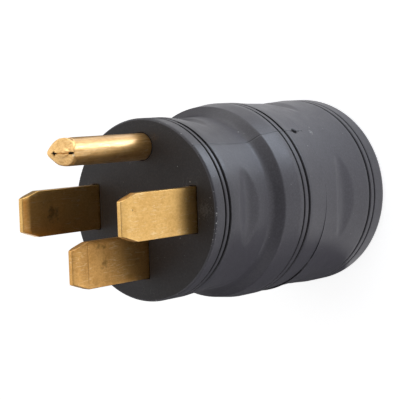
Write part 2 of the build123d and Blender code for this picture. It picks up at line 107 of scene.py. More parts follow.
# Joint of the two housings
JOINT_HAIRLINE = 0.012
JOINT_GAPE = 0.42
JOINT_GAPE_DEPTH = 1.1
JOINT_GAPE_START = 0.78
JOINT_GAPE_ANGLE = math.radians(-76)
JOINT_GAPE_RAMP = 1.5
JOINT_WALL_CURVE = 6
JOINT_STEP = 0.45
JOINT_STEP_FADE = 5.0
# Depths below the smooth outside between which faces take the near-black painted shade
GROOVE_SHADE_DEPTH = 0.22
GROOVE_SHADE_LIMIT = 1.2

# Inside of the housings
FRONT_BORE_R = FRONT_LAND_R - 3.4
MIDDLE_BORE_R = BARREL_R - 4.5
SOCKET_BORE_R = BARREL_R - 4.6
LEDGE_BORE_R = SOCKET_BORE_R - 2.1
FACE_BACK_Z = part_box("blade_carrier")[1].z / MM
BORE_STEP_Z = FACE_Z - EDGE_DISTANCE - 3.0
SPIGOT_END_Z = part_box("plug_housing")[0].z / MM
SPIGOT_WALL = 2.0
SPIGOT_CLEARANCE = 0.1
SOCKET_FACE_BACK_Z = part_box("socket_face")[1].z / MM
LEDGE_TOP_Z = SOCKET_FACE_BACK_Z + 2.0

# Prongs
PRONG_GAP = 0.25
BLADE_TIP_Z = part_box("hot_blade_x")[1].z / MM
BLADE_TAIL_END_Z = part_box("hot_blade_x")[0].z / MM
BLADE_HALF_WIDTH = 6.35
BLADE_HALF_THICKNESS = 1.2
BLADE_TIP_HALF_WIDTH = 4.55
BLADE_TAPER = 5.9
BLADE_BEVEL_REACH = 2.9
BLADE_BEVEL_DROP = 0.6
BLADE_TIP_ROUND = 0.3
BLADE_EDGE_ROUND = 0.25
BLADE_LINE = {"hot_blade_x": 0.0, "hot_blade_y": 0.0, "neutral_blade": 0.05}
BLADE_LINE_WIDTH = 0.12
BLADE_LINE_ABOVE_TAPER = 0.05
BLADE_SHOULDER_HALF_WIDTH = 7.8
BLADE_SHOULDER_HEIGHT = 3.0
BLADE_STEP_EDGE = 0.15
BLADE_TAIL_HALF_WIDTH = 4.0
PIN_TIP_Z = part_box("ground_pin")[1].z / MM
PIN_R = 3.8
PIN_COLLAR_R = 4.0
PIN_COLLAR_RECESS = 0.1
PIN_COLLAR_EDGE = 0.06
PIN_TAIL_HALF_WIDTH = 4.8
PIN_TAIL_HALF_THICKNESS = 0.9
PIN_NECK_DROP = 5.0
POST_R = 4.0
POST_HOLE_R = 2.05
POST_END_Z = 29.1
POST_HOLE_TOP_Z = 43.3


def middle(node):
    low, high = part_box(node)
    return (low + high) / (2 * MM)


# Shape helpers, all in millimetres
def smooth_min(a, b, width):
    """Lesser of two values, with the corner rounded over a width."""
    h = np.clip(0.5 + 0.5 * (b - a) / width, 0.0, 1.0)
    return b + (a - b) * h - width * h * (1.0 - h)


def bell(x, width):
    return np.exp(-(x / width) ** 2)


def lerp_profile(points, z):
    zs, values = zip(*points)
    return np.interp(z, zs, values)


def arc_sag(z, low, high, sag):
    """Depth of a shallow hollow between two heights."""
    t = (2 * z - low - high) / (high - low)
    return np.where(np.abs(t) < 1.0, sag * (1.0 - t * t), 0.0)


COLUMN_DEGREES = 1.25
FINE_COLUMN_DEGREES = 0.2
FINE_COLUMNS_REACH = 2.4


def columns():
    """Angles round the body, closer together at the two moulding lines."""
    angles = list(np.radians(np.arange(0.0, 360.0, COLUMN_DEGREES)))
    fine = np.radians(np.arange(-FINE_COLUMNS_REACH, FINE_COLUMNS_REACH + 0.1, FINE_COLUMN_DEGREES))
    for centre in (LINE_ANGLE, LINE_ANGLE + math.pi):
        angles = [a for a in angles if abs(a - centre) > fine[-1] + 0.01]
        angles += [centre + a for a in fine]
    return np.array(sorted(angles))


def scoop_surface(base_r, z, angle, scoop, waist_r):
    """Radius left by one ring of scoops."""
    centre_z, half_width = scoop
    floor_r = waist_r - SCOOP_DEPTH
    reach = waist_r * math.cos(SCOOP_SPAN)
    shift = SCOOP_DEPTH * (2 * waist_r - SCOOP_DEPTH) / (2 * (floor_r - reach))
    slope = SCOOP_DEPTH / half_width
    lean = math.atan(slope)
    dz = np.abs(z - centre_z)
    rounded = SCOOP_ROOT * (1 / math.cos(lean) - 1) + SCOOP_ROOT - np.sqrt(
        np.maximum(SCOOP_ROOT ** 2 - dz ** 2, 0.0)
    )
    valley = np.where(dz < SCOOP_ROOT * math.sin(lean), rounded, slope * dz)
    valley = valley + np.maximum(dz - SCOOP_REACH, 0.0)
    step = 2 * math.pi / SCOOP_COUNT
    turn = (angle + step / 2) % step - step / 2
    sweep = floor_r + shift + valley
    tool_r = np.sqrt(np.maximum(sweep ** 2 - (shift * np.sin(turn)) ** 2, 0.0)) - shift * np.cos(turn)
    return smooth_min(base_r, tool_r, SCOOP_EDGE)


def groove_depth(z, centres, radius, lip_width):
    depth = np.zeros_like(z)
    for centre in centres:
        dz = np.abs(z - centre)
        half_round = np.sqrt(np.maximum(radius ** 2 - dz ** 2, 0.0))
        lip = 0.5 * lip_width * np.clip((radius + lip_width - dz) / lip_width, 0, 1) ** 2
        depth = np.maximum(depth, np.where(dz < radius, half_round + lip * 0.5, lip * 0.5))
    return depth


def barrel_base(z):
    """Radius of the plain turned form."""
    foot_z = FACE_Z - FOOT_DISTANCE
    edge_z = FACE_Z - EDGE_DISTANCE
    front_land_z = FACE_Z - FRONT_LAND_LENGTH
    middle_z = FACE_Z - MIDDLE_LAND_DISTANCE
    middle_end_z = middle_z - MIDDLE_LAND_LENGTH
    points = [
        (0.0, BARREL_R), (middle_z, BARREL_R), (edge_z, BARREL_R - SHOULDER_TAPER),
        (foot_z, FRONT_LAND_R - FRONT_TAPER), (front_land_z, FRONT_LAND_R), (FACE_Z, FRONT_LAND_R),
    ]
    span = FOOT_ROUND * FOOT_SOFTNESS
    samples = np.linspace(-1.0, 1.0, 9)
    radius = np.mean([lerp_profile(points, z + s * span * near(z, foot_z, span * 2)) for s in samples], 0)
    blend = near(z, edge_z, EDGE_SOFTNESS * 2) + near(z, middle_z, EDGE_SOFTNESS * 2)
    soft = np.mean([lerp_profile(points, z + s * EDGE_SOFTNESS) for s in samples], 0)
    radius = radius + (soft - radius) * np.clip(blend, 0, 1)
    radius = radius - arc_sag(z, foot_z, front_land_z, FRONT_WAIST_SAG)
    return radius - arc_sag(z, REAR_LAND_LENGTH, middle_end_z, REAR_WAIST_SAG)


def near(z, centre, width):
    """One at a height and zero a width away from it."""
    return np.clip(1.0 - np.abs(z - centre) / width, 0.0, 1.0) ** 0.5


def turn_from(angle, centre):
    """Angle past a centre, between minus and plus half a turn."""
    return (angle - centre + math.pi) % (2 * math.pi) - math.pi


def moulding_line(z, angle, radius):
    """Depth of the fine lines where the mould halves met, and of the slight flat past one."""
    across = turn_from(angle, LINE_ANGLE) * radius
    line = LINE_DEPTH * bell(across, LINE_WIDTH)
    swell = (1 - np.exp(-across / FLAT_RISE)) * np.exp(-across / FLAT_REACH)
    flat = np.where(across > 0, FLAT_DEPTH * swell, 0.0)
    flat = flat * np.clip((z - JOINT_Z) / FLAT_FADE, 0.0, 1.0)
    back = BACK_LINE_DEPTH * bell(turn_from(angle, LINE_ANGLE + math.pi) * radius, BACK_LINE_WIDTH)
    return (line + flat) * (z > JOINT_Z) + back


def pit_depth(z, angle, radius):
    """Depth of the moulding pit and of the dashes above and below it."""
    across = turn_from(angle, LINE_ANGLE) * radius
    along = z - PIT_Z
    spread = np.sqrt(across ** 2 + (along / PIT_STRETCH) ** 2)
    pit = PIT_DEPTH * np.clip(PIT_EDGE - spread / PIT_R, 0.0, 1.0)
    dashed = (np.abs(along) < DASH_REACH) * (np.sin(along * DASH_RATE) > DASH_CUT)
    return pit + DASH_DEPTH * bell(across, DASH_WIDTH) * dashed


def joint_step(z, angle):
    """How far the rear housing stands out past the front one on its lower side."""
    lower_side = np.clip(np.cos(turn_from(angle, JOINT_GAPE_ANGLE)), 0.0, 1.0) ** 2
    step = JOINT_STEP * lower_side * np.exp((z - JOINT_Z) / JOINT_STEP_FADE)
    return np.where(z < JOINT_Z, step, 0.0)


def smooth_body(z, angle):
    """Radius of the outside with its scoops, before the fine lines."""
    base = barrel_base(z)
    front_waist = FRONT_LAND_R - FRONT_TAPER / 2 - FRONT_WAIST_SAG
    base = scoop_surface(base, z, angle, FRONT_SCOOP, front_waist)
    base = scoop_surface(base, z, angle, REAR_SCOOP, BARREL_R - REAR_WAIST_SAG)
    return np.minimum(base + joint_step(z, angle), BARREL_R)


def body_surface(z, angle):
    """Radius of the dressed outside at each height and angle."""
    base = smooth_body(z, angle)
    base = base - groove_depth(z, CRISP_GROOVES, GROOVE_R, GROOVE_LIP)
    base = base - groove_depth(z, SOFT_GROOVES, SOFT_GROOVE_R, 2 * GROOVE_LIP)
    base = base - moulding_line(z, angle, base)
    return base - pit_depth(z, angle, base)


ROW_STEP = 0.45
ROW_LEAST_STEP = 0.03


def outside_heights(low, high):
    """Heights of the outside's rows, closer together at grooves, edges and the pit."""
    zs = list(np.linspace(low, high, int((high - low) / ROW_STEP)))
    for centre in CRISP_GROOVES + SOFT_GROOVES:
        radius = GROOVE_R if centre in CRISP_GROOVES else SOFT_GROOVE_R
        sweep = np.linspace(-math.pi / 2, math.pi / 2, 13)
        zs += list(centre + radius * np.sin(sweep))
        for lip in (GROOVE_LIP, 2 * GROOVE_LIP):
            zs += [centre - radius - lip, centre + radius + lip]
    for centre in (FACE_Z - EDGE_DISTANCE, FACE_Z - MIDDLE_LAND_DISTANCE):
        zs += list(centre + np.linspace(-0.6, 0.6, 7))
    zs += list(PIT_Z + np.linspace(-2.6, 2.6, 41))
    zs = sorted(z for z in zs if low <= z <= high)
    kept = [zs[0]]
    for z in zs[1:]:
        if z - kept[-1] > ROW_LEAST_STEP:
            kept.append(z)
    return np.array(kept)


def surface_rows(zs, angles):
    z, angle = np.meshgrid(zs, angles, indexing="ij")
    radius = body_surface(z, angle)
    return np.stack([radius * np.cos(angle), radius * np.sin(angle), z], -1)


def round_rows(centre_r_cut, z_centre, radius, start, end, steps, angles):
    """Rows of a rounded edge. The body's own surface radius is kept where the round starts."""
    rows = []
    for t in np.linspace(start, end, steps):
        edge = body_surface(np.full_like(angles, z_centre), angles) - centre_r_cut
        r = edge + radius * math.cos(t)
        z = np.full_like(angles, z_centre + radius * math.sin(t))
        rows.append(np.stack([r * np.cos(angles), r * np.sin(angles), z], -1))
    return np.array(rows)


def plain_row(radius, z, angles):
    return np.stack([radius * np.cos(angles), radius * np.sin(angles), np.full_like(angles, z)], -1)


# Mesh making
def grid_faces(row_count, column_count, closed=False):
    rows = row_count if closed else row_count - 1
    faces = []
    for i in range(rows):
        a = i * column_count
        b = ((i + 1) % row_count) * column_count
        for j in range(column_count):
            k = (j + 1) % column_count
            faces.append((a + j, a + k, b + k, b + j))
    return faces


def new_piece(name, mesh, material, replaced):
    piece = bpy.data.objects.new(name, mesh)
    bpy.context.scene.collection.objects.link(piece)
    mesh.materials.clear()
    mesh.materials.append(material)
    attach(piece, "root")
    if replaced:
        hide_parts(*replaced)
    return piece


def finish_bmesh(bm, name, sharp_degrees=32.0):
    bmesh.ops.recalc_face_normals(bm, faces=bm.faces)
    for face in bm.faces:
        face.smooth = True
    for edge in bm.edges:
        if len(edge.link_faces) == 2 and edge.calc_face_angle() > math.radians(sharp_degrees):
            edge.smooth = False
    mesh = bpy.data.meshes.new(name)
    bm.to_mesh(mesh)
    bm.free()
    return mesh


def bmesh_from_rows(rows, closed=False):
    rows = np.asarray(rows)
    row_count, column_count, _ = rows.shape
    mesh = bpy.data.meshes.new("rows")
    mesh.from_pydata((rows.reshape(-1, 3) * MM).tolist(), [], grid_faces(row_count, column_count, closed))
    bm = bmesh.new()
    bm.from_mesh(mesh)
    bpy.data.meshes.remove(mesh)
    bm.verts.ensure_lookup_table()
    return bm


def add_loop(bm, points):
    verts = [bm.verts.new((x * MM, y * MM, z * MM)) for x, y, z in points]
    for a, b in zip(verts, verts[1:] + verts[:1]):
        bm.edges.new((a, b))
    return verts


def bridge(bm, lower, upper):
    count = len(lower)
    for i in range(count):
        j = (i + 1) % count
        bm.faces.new((lower[i], lower[j], upper[j], upper[i]))


def loop_edges(bm, verts):
    return [bm.edges.get((a, b)) for a, b in zip(verts, verts[1:] + verts[:1])]


def fill_plane(bm, loops):
    """Flat face between an outer loop and the loops of its holes."""
    edges = [edge for verts in loops for edge in loop_edges(bm, verts)]
    bmesh.ops.triangle_fill(bm, use_beauty=True, use_dissolve=False, edges=edges)


def rounded_box_loop(x, y, half_x, half_y, corner, z, steps=5):
    points = []
    for sign_x, sign_y, start in ((1, 1, 0), (-1, 1, 90), (-1, -1, 180), (1, -1, 270)):
        centre_x = x + sign_x * (half_x - corner)
        centre_y = y + sign_y * (half_y - corner)
        for t in np.radians(np.linspace(start, start + 90, steps)):
            points.append((centre_x + corner * math.cos(t), centre_y + corner * math.sin(t), z))
    return points


def circle_loop(x, y, radius, z, count=64):
    turn = np.linspace(0, 2 * math.pi, count, endpoint=False)
    return [(x + radius * math.cos(t), y + radius * math.sin(t), z) for t in turn]


# Plug housing: bores, joint, outside and the face with its prong holes
HOLE_EDGE = 0.12
SCREW_CIRCLE_R = 19.5


def screw_places():
    reach = SCREW_CIRCLE_R * math.sqrt(0.5)
    return [(-reach, reach), (reach, -reach)]


def prong_holes():
    """Functions that give each hole's loop at a height, widened by an amount."""
    holes = []
    for node in ("hot_blade_x", "hot_blade_y", "neutral_blade"):
        centre = middle(node)

        def slot_loop(z, wider, centre=centre):
            return rounded_box_loop(
                centre.x, centre.y, BLADE_HALF_THICKNESS + PRONG_GAP + wider,
                BLADE_HALF_WIDTH + PRONG_GAP + wider, 0.4 + wider, z,
            )
        holes.append(slot_loop)
    pin = middle("ground_pin")
    holes.append(lambda z, wider: circle_loop(pin.x, pin.y, PIN_R + PRONG_GAP + wider, z))
    return holes


def joint_rows(angles, direction):
    """Rounded edge at the joint. On the lower side the joint gapes."""
    gape_turn = np.clip(np.cos(turn_from(angles, JOINT_GAPE_ANGLE)), 0.0, 1.0)
    gape = (gape_turn - JOINT_GAPE_START) / (1.0 - JOINT_GAPE_START) * JOINT_GAPE_RAMP
    gape = np.clip(gape, 0.0, 1.0)
    half = JOINT_HAIRLINE + (JOINT_GAPE - JOINT_HAIRLINE) * gape
    depth = JOINT_HAIRLINE + (JOINT_GAPE_DEPTH - JOINT_HAIRLINE) * gape
    surface = body_surface(np.full_like(angles, JOINT_Z + 0.001 * direction), angles)
    rows = []
    for t in np.linspace(0, math.pi / 2, 6):
        r = surface - depth * (1 - math.sin(t))
        z = JOINT_Z + direction * half * (1 - 0.98 * math.cos(t) ** JOINT_WALL_CURVE)
        rows.append(np.stack([r * np.cos(angles), r * np.sin(angles), z], -1))
    return rows


def add_post(bm, x, y):
    """Screw post inside the plug housing, a closed shell of its own."""
    loops = [
        add_loop(bm, circle_loop(x, y, r, z, 48)) for r, z in (
            (POST_HOLE_R, POST_HOLE_TOP_Z), (POST_HOLE_R, POST_END_Z), (POST_R, POST_END_Z),
            (POST_R, FACE_BACK_Z + 0.2),
        )
    ]
    for inner, outer in zip(loops, loops[1:]):
        bridge(bm, inner, outer)
    bm.faces.new(loops[0])
    bm.faces.new(loops[-1])


def paint_recess_shade(piece, slot_index):
    """Gives the bottoms of the grooves, the pit and the gap at the joint a near-black material: painted
    shade in these recesses.
    """
    polygons = piece.data.polygons
    centres = np.zeros(len(polygons) * 3)
    polygons.foreach_get("center", centres)
    x, y, z = centres.reshape(-1, 3).T / MM
    depth = smooth_body(z, np.arctan2(y, x)) - np.hypot(x, y)
    outside = (z > 2.0) & (z < FACE_Z - 1.0)
    for index in np.flatnonzero(outside & (depth > GROOVE_SHADE_DEPTH) & (depth < GROOVE_SHADE_LIMIT)):
        polygons[int(index)].material_index = slot_index


def plug_housing():
    angles = columns()
    rows = [
        plain_row(FRONT_BORE_R, FACE_BACK_Z, angles),
        plain_row(FRONT_BORE_R, BORE_STEP_Z, angles),
        plain_row(MIDDLE_BORE_R, BORE_STEP_Z, angles),
        plain_row(MIDDLE_BORE_R, SPIGOT_END_Z, angles),
        plain_row(MIDDLE_BORE_R + SPIGOT_WALL, SPIGOT_END_Z, angles),
        plain_row(MIDDLE_BORE_R + SPIGOT_WALL, JOINT_Z, angles),
    ]
    rows += joint_rows(angles, 1)
    top = FACE_Z - FACE_EDGE_ROUND
    rows += list(surface_rows(outside_heights(JOINT_Z + 0.3, top), angles))
    rows += list(round_rows(FACE_EDGE_ROUND, top, FACE_EDGE_ROUND, 0, math.pi / 2, 7, angles)[1:])
    rows = np.array(rows)
    bm = bmesh_from_rows(rows)
    count = len(angles)
    back_loop = list(bm.verts[:count])
    face_loop = list(bm.verts[-count:])
    top_loops = [face_loop]
    bottom_loops = [back_loop]
    for hole in prong_holes():
        lip = add_loop(bm, hole(FACE_Z, HOLE_EDGE))
        wall = add_loop(bm, hole(FACE_Z - HOLE_EDGE, 0.0))
        end = add_loop(bm, hole(FACE_BACK_Z, 0.0))
        bridge(bm, lip, wall)
        bridge(bm, wall, end)
        top_loops.append(lip)
        bottom_loops.append(end)
    fill_plane(bm, top_loops)
    fill_plane(bm, bottom_loops)
    for x, y in screw_places():
        add_post(bm, x, y)
    return finish_bmesh(bm, "plug_body")


def socket_housing():
    """One closed ring of rows, from the rim round the outside and back inside."""
    angles = columns()
    rows = [plain_row(SOCKET_BORE_R, 0.3, angles), plain_row(SOCKET_BORE_R + 0.3, 0.0, angles)]
    rows += list(round_rows(RIM_ROUND, RIM_ROUND, RIM_ROUND, -math.pi / 2, 0, 10, angles)[:-1])
    rows += list(surface_rows(outside_heights(RIM_ROUND, JOINT_Z - 0.3), angles))
    rows += joint_rows(angles, -1)[::-1]
    spigot_hole = MIDDLE_BORE_R + SPIGOT_WALL + SPIGOT_CLEARANCE
    rows += [
        plain_row(spigot_hole, JOINT_Z, angles),
        plain_row(spigot_hole, SPIGOT_END_Z - SPIGOT_CLEARANCE, angles),
        plain_row(SOCKET_BORE_R, SPIGOT_END_Z - SPIGOT_CLEARANCE, angles),
        plain_row(SOCKET_BORE_R, LEDGE_TOP_Z, angles),
        plain_row(LEDGE_BORE_R, LEDGE_TOP_Z, angles),
        plain_row(LEDGE_BORE_R, SOCKET_FACE_BACK_Z, angles),
        plain_row(SOCKET_BORE_R, SOCKET_FACE_BACK_Z, angles),
    ]
    return finish_bmesh(bmesh_from_rows(np.array(rows), closed=True), "socket_body")


# Blades: rounded bars lofted along Z
def blade_ring(half_x, half_y, corner, z):
    """Rounded rectangle with extra points along its sides."""
    corner_points = np.array(rounded_box_loop(0, 0, half_x, half_y, corner, z, steps=4))
    points = []
    count = len(corner_points)
    for i in range(count):
        a, b = corner_points[i], corner_points[(i + 1) % count]
        points.append(a)
        if (i + 1) % 4 == 0:
            cuts = 12 if abs(b[1] - a[1]) > abs(b[0] - a[0]) else 2
            points += [a + (b - a) * t for t in np.linspace(0, 1, cuts + 2)[1:-1]]
    return np.array(points)


def blade_half_thickness(z, line_depth):
    """Half the thickness at a height: a soft bevel at the tip, and a fine line across."""
    bevel = max(z - (BLADE_TIP_Z - BLADE_BEVEL_REACH), 0.0) / BLADE_BEVEL_REACH
    line_z = BLADE_TIP_Z - BLADE_TAPER + BLADE_LINE_ABOVE_TAPER
    line = line_depth * bell(z - line_z, BLADE_LINE_WIDTH)
    return BLADE_HALF_THICKNESS - BLADE_BEVEL_DROP * bevel ** 2.0 - line


def blade_sections(line_depth):
    """Height, half thickness, half width and corner radius of each section, tail first."""
    half_t = BLADE_HALF_THICKNESS
    corner = BLADE_EDGE_ROUND
    shoulder_z = FACE_BACK_Z - BLADE_SHOULDER_HEIGHT
    taper_z = BLADE_TIP_Z - BLADE_TAPER
    sections = [
        (BLADE_TAIL_END_Z, half_t, BLADE_TAIL_HALF_WIDTH, corner),
        (shoulder_z, half_t, BLADE_TAIL_HALF_WIDTH, corner),
        (shoulder_z + BLADE_STEP_EDGE, half_t, BLADE_SHOULDER_HALF_WIDTH, corner),
        (FACE_BACK_Z - BLADE_STEP_EDGE, half_t, BLADE_SHOULDER_HALF_WIDTH, corner),
        (FACE_BACK_Z, half_t, BLADE_HALF_WIDTH, corner),
    ]
    heights = list(np.linspace(FACE_BACK_Z + 0.5, taper_z - 0.2, 14))
    heights += list(np.linspace(taper_z - 0.15, taper_z + 0.25, 9))
    end_turn = math.atan(2 * BLADE_BEVEL_DROP / BLADE_BEVEL_REACH)
    round_z = BLADE_TIP_Z - BLADE_TIP_ROUND * (1 - math.sin(end_turn))
    heights += list(np.linspace(taper_z + 0.4, round_z, 26))
    for z in heights:
        taper = max(z - taper_z, 0) / BLADE_TAPER
        half_w = BLADE_HALF_WIDTH + (BLADE_TIP_HALF_WIDTH - BLADE_HALF_WIDTH) * taper
        sections.append((z, blade_half_thickness(z, line_depth), half_w, corner))
    last = sections[-1]
    for t in np.linspace(end_turn, math.pi / 2, 6)[1:]:
        inset = BLADE_TIP_ROUND * (math.cos(end_turn) - math.cos(t))
        rise = BLADE_TIP_ROUND * (math.sin(t) - math.sin(end_turn))
        sections.append((last[0] + rise, last[1] - inset, last[2] - inset, corner))
    return sections


def blade(node, line_depth):
    centre = middle(node)
    rows = [blade_ring(t, w, corner, z) for z, t, w, corner in blade_sections(line_depth)]
    rows = np.array(rows) + np.array([centre.x, centre.y, 0.0])
    bm = bmesh_from_rows(rows)
    count = rows.shape[1]
    bm.faces.new(list(bm.verts[:count]))
    bm.faces.new(list(bm.verts[-count:]))
    return finish_bmesh(bm, node + "_bar", 24.0)


# Ground pin: the end is worked out as a smooth solid, seen along rays from a point inside it
PIN_FACET_SLOPE = 0.76
PIN_RIDGE_SLOPE = 0.55
PIN_RIDGE_START_X = -1.5
PIN_TIP_R = 3.05
PIN_TIP_TAPER = 3.0
PIN_RIDGE_Y = -0.25
PIN_CORNER_REACH = 3.2
PIN_CORNER_TURN = 0.6
PIN_CORNER_SLOPE = 0.33
PIN_ANCHOR_DEPTH = 8.0
PIN_SIDE_HOLE = (3.45, PIN_TIP_Z - 2.65)
PIN_END_HOLE_X = -1.05
PIN_END_REACH = 2.0
PIN_HOLE_DEPTH = 1.2
PIN_HOLE_EDGE = 1.6
PIN_HOLE_SHADE_DEPTH = 0.35
PIN_DISH_DEPTH = 0.12
PIN_UNEVENNESS = 0.06
PIN_SEAM_DEPTH = 0.3
PIN_SIDE_DIMPLE = 0.42
PIN_END_DIMPLE = 0.28
PIN_CREASE_DEPTH = 0.36
PIN_LOWER_CREASE_DEPTH = 0.08
PIN_ROOT_SHADE_Z = FACE_Z + 0.06


def soft_max(a, b, width):
    return -smooth_min(-a, -b, width)


def pin_outside(x, y, z):
    """Positive outside the pin's end and negative inside it."""
    drop = PIN_TIP_Z - z
    round_r = PIN_R - (PIN_R - PIN_TIP_R) * np.clip(1 - drop / PIN_TIP_TAPER, 0, 1)
    side = np.sqrt(x * x + y * y) - round_r
    across = y - PIN_RIDGE_Y * np.clip(1 - drop / PIN_TIP_TAPER, 0, 1)
    soft_y = np.sqrt(across ** 2 + 0.35 ** 2) - 0.5
    corner = PIN_CORNER_TURN * soft_y - x - PIN_CORNER_SLOPE * drop - PIN_CORNER_REACH
    side = soft_max(side, corner * 0.83, 0.12)
    soft_x = 0.5 * ((x - PIN_RIDGE_START_X) + np.sqrt((x - PIN_RIDGE_START_X) ** 2 + 0.5 ** 2))
    facet = (PIN_FACET_SLOPE * soft_y + PIN_RIDGE_SLOPE * soft_x - drop) * 0.75
    edge_width = 0.22 + 0.5 * np.clip(-y / 2.0, 0, 1)
    dish = PIN_DISH_DEPTH * bell(np.abs(across) - 1.9, 1.1) * bell(x - 0.2, 2.0)
    dish = dish + PIN_UNEVENNESS * (1 + np.sin(2.1 * x + 0.6) * np.sin(2.4 * y + 0.9))
    return soft_max(side, facet + dish, edge_width)


def pinch(across, along, reach):
    """Four-pointed dimple."""
    spread = np.sqrt(across ** 2 + along ** 2)
    star = 1 + 0.35 * np.cos(4 * np.arctan2(along, across))
    return bell(spread, reach * star)


def pin_holes(x, y, z):
    """Depth of the two small holes."""
    y = y - PIN_RIDGE_Y
    hole_x, hole_z = PIN_SIDE_HOLE
    side_spread = 1.6 * np.abs(y) + 2.2 * (z - hole_z) ** 2
    side_hole = (x > 0) * PIN_HOLE_DEPTH * np.clip(PIN_HOLE_EDGE - side_spread / 0.35, 0, 1)
    star = 1 + 0.3 * np.cos(4 * np.arctan2(y, x - PIN_END_HOLE_X))
    end_spread = np.sqrt(y ** 2 + (x - PIN_END_HOLE_X) ** 2) / star
    end_hole = PIN_HOLE_DEPTH * np.clip(PIN_HOLE_EDGE - end_spread / 0.34, 0, 1)
    return side_hole + (z > PIN_TIP_Z - PIN_END_REACH) * end_hole


def pin_dents(x, y, z):
    """Depth of the seam, the dimples at the holes and the crease behind the crimped end."""
    drop = PIN_TIP_Z - z
    y = y - PIN_RIDGE_Y
    wobble = 0.06 * np.sin(x * 3.1) + 0.03 * np.sin(x * 7.7 + 1.0)
    hole_x, hole_z = PIN_SIDE_HOLE
    on_ridge = (x > PIN_END_HOLE_X) * (z > hole_z)
    seam = PIN_SEAM_DEPTH * bell(y - wobble, 0.12) * on_ridge
    side_dimple = np.where(x > 0, PIN_SIDE_DIMPLE, 0.0) * pinch(y, z - hole_z, 1.0)
    at_end = z > PIN_TIP_Z - PIN_END_REACH
    end_dimple = at_end * PIN_END_DIMPLE * pinch(y, x - PIN_END_HOLE_X, 0.8)
    turn = np.degrees(np.arctan2(y + PIN_RIDGE_Y, x))
    rise = np.clip((turn - 8.0) / 80.0, 0, 1)
    past = drop - (3.1 + 2.5 * rise)
    crease_end = np.clip((150.0 - turn) / 40.0, 0, 1)
    fold = np.where(past > 0, bell(past, 0.3), bell(past, 1.2))
    crease = PIN_CREASE_DEPTH * rise ** 0.7 * crease_end * fold
    lower = np.clip((-turn - 8.0) / 40.0, 0, 1) * np.clip((110.0 + turn) / 30.0, 0, 1)
    crease = crease + PIN_LOWER_CREASE_DEPTH * lower * bell(drop - 3.2 - 1.2 * lower, 0.4)
    return seam + side_dimple + end_dimple + crease


def pin_end_rows():
    """Rows from the round part up over the end, found along rays from a point inside."""
    anchor_z = PIN_TIP_Z - PIN_ANCHOR_DEPTH
    tilts = np.radians(90.0 * (1 - np.linspace(0, 1, 150) ** 0.8) + 0.5)
    turns = np.linspace(0, 2 * math.pi, 240, endpoint=False)
    tilt, turn = np.meshgrid(tilts, turns, indexing="ij")
    dx, dy, dz = np.sin(tilt) * np.cos(turn), np.sin(tilt) * np.sin(turn), np.cos(tilt)
    near_t = np.zeros_like(tilt)
    far_t = np.full_like(tilt, PIN_ANCHOR_DEPTH + 1.0)
    for _ in range(30):
        mid = (near_t + far_t) / 2
        outside = pin_outside(mid * dx, mid * dy, anchor_z + mid * dz) > 0
        far_t = np.where(outside, mid, far_t)
        near_t = np.where(outside, near_t, mid)
    distance = (near_t + far_t) / 2
    surface = (distance * dx, distance * dy, anchor_z + distance * dz)
    holes = pin_holes(*surface)
    distance = distance - pin_dents(*surface) - holes
    return np.stack([distance * dx, distance * dy, anchor_z + distance * dz], -1), turns, holes


def ground_pin():
    end_rows, turns, holes = pin_end_rows()
    tail_low_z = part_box("ground_pin")[0].z / MM
    neck_low_z = FACE_BACK_Z - PIN_NECK_DROP
    neck_middle_z = neck_low_z + PIN_NECK_DROP / 2
    rows = []
    flat_r = 1 / np.maximum(
        np.abs(np.cos(turns)) / PIN_TAIL_HALF_WIDTH, np.abs(np.sin(turns)) / PIN_TAIL_HALF_THICKNESS
    )
    for z, blend in ((tail_low_z, 1.0), (neck_low_z, 1.0), (neck_middle_z, 0.5)):
        radius = flat_r * blend + PIN_R * (1 - blend)
        rows.append(np.stack([radius * np.cos(turns), radius * np.sin(turns), np.full_like(turns, z)], -1))
    collar_z = FACE_Z - PIN_COLLAR_RECESS
    rows += [
        plain_row(PIN_COLLAR_R, FACE_BACK_Z, turns),
        plain_row(PIN_COLLAR_R, collar_z - PIN_COLLAR_EDGE, turns),
        plain_row(PIN_COLLAR_R - PIN_COLLAR_EDGE, collar_z, turns),
        plain_row(PIN_R, collar_z, turns),
    ]
    straight = np.linspace(collar_z + 0.4, PIN_TIP_Z - PIN_ANCHOR_DEPTH - 0.4, 14)
    rows += [plain_row(PIN_R, z, turns) for z in straight]
    # Points deep in the pin's holes; their faces get the near-black painted shade
    dark_ones = np.flatnonzero(holes.ravel() > PIN_HOLE_SHADE_DEPTH) + len(rows) * len(turns)
    rows = np.concatenate([np.array(rows), end_rows])
    centre = middle("ground_pin")
    rows = rows + np.array([centre.x, centre.y, 0.0])
    bm = bmesh_from_rows(rows)
    count = rows.shape[1]
    bm.faces.new(list(bm.verts[:count]))
    bm.faces.new(list(bm.verts[-count:]))
    return finish_bmesh(bm, "ground_pin_tube", 55.0), dark_ones


# Materials
SCUFF_ANGLE = math.radians(43.4)
SCUFF_Z = FACE_Z - 53.8
LINE_END_Z = FACE_Z - 41.6
DUST_GREY = (0.45, 0.45, 0.46)
WEAR_GREY = (0.45, 0.45, 0.45)
EDGE_WEAR_Z = FACE_Z - 0.3
EDGE_WEAR_REACH = 0.5
RUBBED_BRASS = (0.92, 0.74, 0.45)
STAIN_AND_LIGHT_GRAIN = 1.0
STAIN_AND_LIGHT_RAGGED_SHARE = 0.6


def new_material(name):
    material = bpy.data.materials.new(name)
    material.use_nodes = True
    tree = material.node_tree
    return material, tree, tree.nodes["Principled BSDF"]


def add(tree, kind, **values):
    node = tree.nodes.new(kind)
    for key, value in values.items():
        setattr(node, key, value)
    return node


